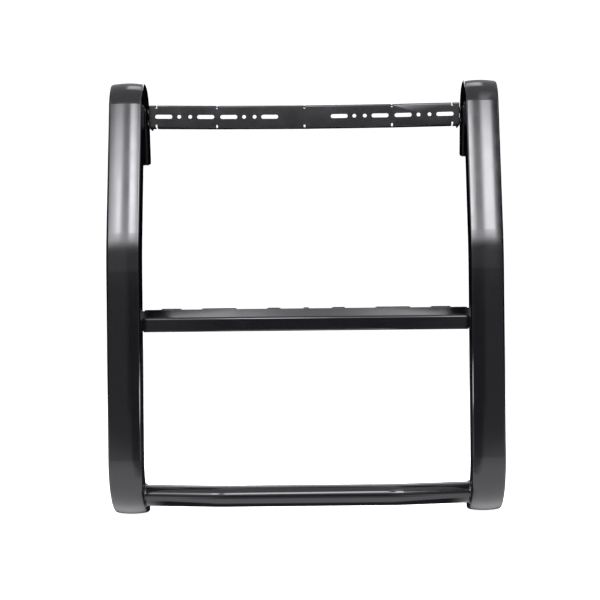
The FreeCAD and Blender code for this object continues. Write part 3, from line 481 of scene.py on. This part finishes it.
def facing(axis, sign, low, high, seat):
    """The turn and shift that stand a fastener on its seat, pointing along a world axis."""
    middle = (low + high) / 2
    middle[axis] = seat
    if axis == 0:
        turn = Matrix.Rotation(math.radians(90 * sign), 4, "Y")
    else:
        turn = Matrix.Rotation(math.radians(-90 * sign), 4, "X")
    return Matrix.Translation(middle) @ turn


def head_sign(axis, low, high, inward):
    """Which way a fastener's head points: to the rear, or toward or away from the middle."""
    if axis == 1:
        return 1
    outward = 1 if low[0] + high[0] > 0 else -1
    return -outward if inward else outward


def add_fasteners(node, material, slot, axis, inward, base, draw):
    """Redraws every solid of a node. Base gives the seat's height above the solid's low end."""
    bm = bmesh.new()
    for low, high in islands(node):
        sign = head_sign(axis, low, high, inward(low, high))
        if sign > 0:
            seat = low[axis] + base(low, high)
        else:
            seat = high[axis] - base(low, high)
        draw(bm, facing(axis, sign, low, high, seat), (high - low)[axis])
    add_piece(node + "_finish", bm, material, slot, node)


def add_bolts(node, material, slot, size, axis):
    rise = size * MM * HEAD_RISE
    add_fasteners(
        node, material, slot, axis, lambda low, high: True,
        lambda low, high: (high - low)[axis] - rise,
        lambda bm, turn, whole: hex_bolt(bm, turn, size, whole - rise),
    )


def add_flat_rings(node, material, slot, size, axis, clearance, corner):
    bore = size * MM / 2 + clearance
    add_fasteners(
        node, material, slot, axis, lambda low, high: True, lambda low, high: 0.0,
        lambda bm, turn, whole: flat_ring(bm, turn, size * MM, bore, whole, corner),
    )


def add_spring_rings(node, material, slot, size):
    outer = size * MM * 0.8
    bore = size * MM / 2 + 0.2 * MM
    add_fasteners(
        node, material, slot, 1, lambda low, high: True, lambda low, high: 0.0,
        lambda bm, turn, whole: spring_ring(bm, turn, outer, bore, whole),
    )


def add_inserts(node, material, slot, size, axis):
    collar = 0.8 * MM
    add_fasteners(
        node, material, slot, axis, lambda low, high: True,
        lambda low, high: (high - low)[axis] - collar,
        lambda bm, turn, whole: threaded_insert(bm, turn, size, collar, whole - collar),
    )


def add_nuts(node, material, slot, size):
    add_fasteners(
        node, material, slot, 0, lambda low, high: False, lambda low, high: 0.0,
        lambda bm, turn, whole: hex_nut(bm, turn, size),
    )


# Studio. Pale paper that only the camera sees, and lit panels that only the guard reflects.


GLOW_TINT = (0.99, 0.985, 1.03, 1.0)
FLOOR_SIZE = 24
BACKDROP_RADIUS = 11
BACKDROP_HEIGHT = 16
PANEL_HALF = 3.4
PANEL_AHEAD = FRONT_Y - 3.0
PANEL_CEILING = 3.3
TOP_BACK = 2.6
SIDE_X = 3.6
SIDE_BACK = -0.4
FLOOR_HALF = 6.0
FLOOR_BACK = 12.0
FLOOR_DROP = -0.002
STRIP_HALF = 0.26
STRIP_AHEAD = FRONT_Y - 0.25


def glow_material(name, strength):
    """A lit surface. Strength makes the glow's brightness from the panel's own coordinates."""
    n = Nodes(name)
    n.tree.nodes.remove(n.shader)
    emission = n.add("ShaderNodeEmission")
    split = n.add("ShaderNodeSeparateXYZ")
    n.link(n.coords, split.inputs["Vector"])
    emission.inputs["Color"].default_value = GLOW_TINT
    n.link(strength(n, split.outputs), emission.inputs["Strength"])
    n.link(emission.outputs["Emission"], n.tree.nodes["Material Output"].inputs["Surface"])
    return n.material


def rise(n, source, start, finish, low=0.0, high=1.0):
    """A smooth step from low to high between two places."""
    node = n.add("ShaderNodeMapRange", interpolation_type="SMOOTHSTEP")
    for socket, value in (("From Min", start), ("From Max", finish), ("To Min", low), ("To Max", high)):
        node.inputs[socket].default_value = value
    n.link(source, node.inputs["Value"])
    return node.outputs["Result"]


def band(n, source, middle, half, soft):
    """1 inside a band, fading smoothly to 0 over a soft edge on both sides."""
    up = rise(n, source, middle - half - soft, middle - half)
    down = rise(n, source, middle + half, middle + half + soft, 1.0, 0.0)
    return n.math("MULTIPLY", up, down)


def paper(name):
    n = Nodes(name)
    n.set("Base Color", n.mix(n.noise(0.8), (0.80, 0.80, 0.80), (0.82, 0.82, 0.82)))
    n.set("Roughness", 0.9)
    n.set("Emission Color", (1.0, 1.0, 1.0, 1.0))
    n.set("Emission Strength", 1.0)
    return n.material


def add_stage(name, bm, material, seen):
    """A piece of the studio, either seen by the camera alone or hidden from it."""
    mesh = bpy.data.meshes.new(name)
    bm.to_mesh(mesh)
    bm.free()
    mesh.materials.append(material)
    item = bpy.data.objects.new(name, mesh)
    scene.collection.objects.link(item)
    item.visible_camera = seen
    item.visible_glossy = not seen
    item.visible_diffuse = not seen
    item.visible_shadow = False


def sheet(width, depth, place):
    bm = bmesh.new()
    corners = [(-1, -1), (1, -1), (1, 1), (-1, 1)]
    bm.faces.new([bm.verts.new(place @ Vector((x * width / 2, y * depth / 2, 0))) for x, y in corners])
    return bm


def add_paper():
    white = paper("pale_paper")
    add_stage("floor", sheet(FLOOR_SIZE, FLOOR_SIZE, Matrix()), white, True)
    wall = bmesh.new()
    bmesh.ops.create_cone(
        wall, segments=64, radius1=BACKDROP_RADIUS, radius2=BACKDROP_RADIUS,
        depth=BACKDROP_HEIGHT, cap_ends=False,
    )
    add_stage("backdrop", wall, white, True)


# Bright upright bars in the front panel, and a thinner streak lower down.
# Each is its middle, half width, soft edge and strength.
FRONT_BARS = ((-1.42, 0.18, 0.45, 9.0), (-0.23, 0.11, 0.19, 18.0), (1.12, 0.24, 0.42, 15.5))
FRONT_STREAK = (-1.28, 0.07, 0.22, 7.0)


def total(n, parts):
    result = parts[0]
    for part in parts[1:]:
        result = n.math("ADD", result, part)
    return result


def product(n, parts):
    result = parts[0]
    for part in parts[1:]:
        result = n.math("MULTIPLY", result, part)
    return result


def front_glow(n, axes):
    """A tall panel ahead: dim low down, a broad glow above with bright upright bars."""
    x, _, z = axes
    broad = total(n, [
        rise(n, z, 0.50, 0.80, 0.0, 0.45),
        rise(n, z, 1.38, 1.78, 0.0, 5.5),
        rise(n, z, 1.85, 2.25, 0.0, -2.0),
        rise(n, z, 2.35, 2.70, 0.0, -1.9),
        rise(n, z, 2.80, 3.30, 0.0, -1.0),
    ])
    bars = total(n, [n.math("MULTIPLY", band(n, x, *bar[:3]), bar[3]) for bar in FRONT_BARS])
    tall = product(n, [
        rise(n, z, 1.58, 2.15),
        rise(n, z, 2.40, 2.90, 1.0, 0.2),
        rise(n, z, 3.0, 3.3, 1.0, 0.0),
    ])
    streak = n.math("MULTIPLY", band(n, x, *FRONT_STREAK[:3]), FRONT_STREAK[3])
    short = product(n, [rise(n, z, 1.70, 2.10), rise(n, z, 2.26, 2.34, 1.0, 0.0)])
    glow = total(n, [broad, product(n, [bars, tall]), product(n, [streak, short])])
    low = n.math("SUBTRACT", 0.42, n.math("MULTIPLY", band(n, x, 0.0, 0.40, 0.30), 0.24))
    return n.math("ADD", low, n.math("MULTIPLY", glow, band(n, x, -0.50, 1.95, 0.40)))


def top_glow(n, axes):
    """A ceiling panel: even all over, brighter over each half of the step and ahead on the right."""
    x, y, _ = axes
    away = n.math("ABSOLUTE", x, 0.0)
    halves = product(n, [rise(n, away, 0.05, 0.50, 1.0, 4.2), rise(n, away, 0.62, 0.78, 1.0, 0.0)])
    patch = n.math("MULTIPLY", halves, band(n, y, 0.55, 0.30, 0.30))
    right = product(n, [band(n, x, 1.0, 0.2, 0.4), rise(n, y, -3.1, -0.6, 2.4, 0.0)])
    return total(n, [1.05, patch, right])


def side_glow(n, axes):
    """A glow on each side, for the rounded corners of the uprights above the knees."""
    return rise(n, axes[2], 1.9, 2.6, 0.0, 3.2)


def floor_glow(n, axes):
    """Light on the floor ahead of the feet, dark under the lower tube and behind the guard."""
    x, y, _ = axes
    ahead = total(n, [rise(n, y, -1.9, -1.1, 0.42, 1.25), rise(n, y, -1.1, -0.1, 0.0, 0.75)])
    inside = band(n, x, 0.0, 0.33, 0.06)
    dim = n.math("SUBTRACT", 1.0, product(n, [inside, rise(n, y, -0.26, -0.20, 0.65, 0.0)]))
    under = n.math("SUBTRACT", 1.0, product(n, [inside, rise(n, y, -0.12, -0.10, 0.0, 0.95)]))
    return n.math("ADD", 0.02, product(n, [ahead, dim, under, rise(n, y, -0.05, 0.01, 1.0, 0.0)]))


def strip_glow(n, axes):
    """A short bright strip low and close ahead, reflected by the lower tube, softer at its ends."""
    return n.math("MULTIPLY", band(n, axes[0], -0.01, 0.19, 0.06), 12.0)


def add_softbox(name, spot, target, width, height, glow):
    """An area light of a given brightness that the camera itself doesn't see."""
    data = bpy.data.lights.new(name, "AREA")
    data.shape = "RECTANGLE"
    data.size = width
    data.size_y = height
    data.energy = glow * math.pi * width * height
    light = bpy.data.objects.new(name, data)
    scene.collection.objects.link(light)
    aim = (Vector(target) - Vector(spot)).to_track_quat("-Z", "Y")
    light.matrix_world = Matrix.Translation(spot) @ aim.to_matrix().to_4x4()
    light.visible_camera = False


def add_world(level):
    """A dim room round the lit panels."""
    world = bpy.data.worlds.new("studio")
    world.use_nodes = True
    background = world.node_tree.nodes["Background"]
    background.inputs["Strength"].default_value = level
    scene.world = world


def add_panel(name, corners, glow):
    bm = bmesh.new()
    bm.faces.new([bm.verts.new(corner) for corner in corners])
    add_stage(name, bm, glow_material(name + "_glow", glow), False)


def upright_panel(x, y, bottom, top):
    """Corners of a panel across x at one y, from the bottom to the top heights of its two ends."""
    return [(-x, y, bottom[0]), (x, y, bottom[1]), (x, y, top[1]), (-x, y, top[0])]


def level_panel(x, front, back, z):
    return [(-x, front, z), (x, front, z), (x, back, z), (-x, back, z)]


def add_studio():
    add_paper()
    across = upright_panel(PANEL_HALF, PANEL_AHEAD, (0, 0), (PANEL_CEILING, PANEL_CEILING))
    add_panel("front_panel", across, front_glow)
    for name, x in (("left_panel", -SIDE_X), ("right_panel", SIDE_X)):
        low_edge = [(x, PANEL_AHEAD, 0), (x, SIDE_BACK, 0)]
        high_edge = [(x, SIDE_BACK, PANEL_CEILING), (x, PANEL_AHEAD, PANEL_CEILING)]
        add_panel(name, low_edge + high_edge, side_glow)
    add_panel("top_panel", level_panel(PANEL_HALF, PANEL_AHEAD, TOP_BACK, PANEL_CEILING), top_glow)
    add_panel("floor_panel", level_panel(FLOOR_HALF, PANEL_AHEAD, FLOOR_BACK, FLOOR_DROP), floor_glow)
    strip = upright_panel(STRIP_HALF, STRIP_AHEAD, (0.18, 0.25), (0.28, 0.36))
    add_panel("strip_panel", strip, strip_glow)
    add_softbox("rear_softbox", (0, 3.2, 2.9), (0, 0, 0.7), 3.6, 1.2, 4.0)
    add_world(0.03)


# The guard's own pieces. Each folded or flat piece is given with the width of its rounded edges, in mm.

POWDER_NODES = {
    "top_light_channel": 0.5,
    "step_crossbar": 0.5,
    "left_step_end_plate": 0.5,
    "right_step_end_plate": 0.5,
    "left_step_bracket": 0.6,
    "right_step_bracket": 0.6,
    "left_frame_bracket": 0.9,
    "right_frame_bracket": 0.9,
    "frame_bracket_gussets": 0.6,
}
CAP_NODES = ("left_foot_cap", "right_foot_cap", "left_tail_cap", "right_tail_cap")

scene.view_settings.view_transform = "Standard"
add_camera()
add_studio()
coat = powder_coat("powder_coat")
weld = powder_coat("weld_coat", rough=(0.18, 0.26), peel=0.2)
plastic = moulded_plastic("end_cap")
blackened = black_oxide("black_hardware")
zinc = zinc_plate("zinc_hardware", (0.60, 0.62, 0.66), (0.50, 0.52, 0.56))
yellow = zinc_plate("thread_insert", (0.30, 0.26, 0.17), (0.24, 0.22, 0.16))

for node, width in POWDER_NODES.items():
    add_rounded(node, coat, width * MM)
for node in CAP_NODES:
    add_rounded(node, plastic, 0.6 * MM)
for node in ("left_upright", "right_upright", "lower_cross_tube"):
    shade(NODES[node].data)
    NODES[node].data.materials.clear()
    NODES[node].data.materials.append(coat)
shade(NODES["lower_tube_welds"].data)
NODES["lower_tube_welds"].data.materials.clear()
NODES["lower_tube_welds"].data.materials.append(weld)

add_bolts("top_channel_bolts", blackened, "black_hardware", 8, 0)
add_flat_rings("top_channel_washers", blackened, "black_hardware", 8, 0, 0.2 * MM, 0.25 * MM)
add_flat_rings("top_channel_spacers", blackened, "black_hardware", 8, 0, 0.4 * MM, 0.4 * MM)
add_inserts("top_channel_inserts", yellow, "thread_insert", 8, 0)
add_bolts("step_bracket_bolts", zinc, "zinc_hardware", 8, 1)
add_spring_rings("step_bracket_lock_washers", zinc, "zinc_hardware", 8)
add_inserts("step_bracket_inserts", yellow, "thread_insert", 8, 1)
add_bolts("step_end_bolts", zinc, "zinc_hardware", 8, 0)
add_flat_rings("step_end_washers", zinc, "zinc_hardware", 8, 0, 0.2 * MM, 0.25 * MM)
add_nuts("step_end_nuts", zinc, "zinc_hardware", 8)
add_bolts("frame_bracket_bolts", zinc, "zinc_hardware", 10, 1)
add_flat_rings("frame_bracket_washers", zinc, "zinc_hardware", 10, 1, 0.2 * MM, 0.3 * MM)
add_spring_rings("frame_bracket_lock_washers", zinc, "zinc_hardware", 10)
add_inserts("frame_bracket_inserts", yellow, "thread_insert", 10, 1)
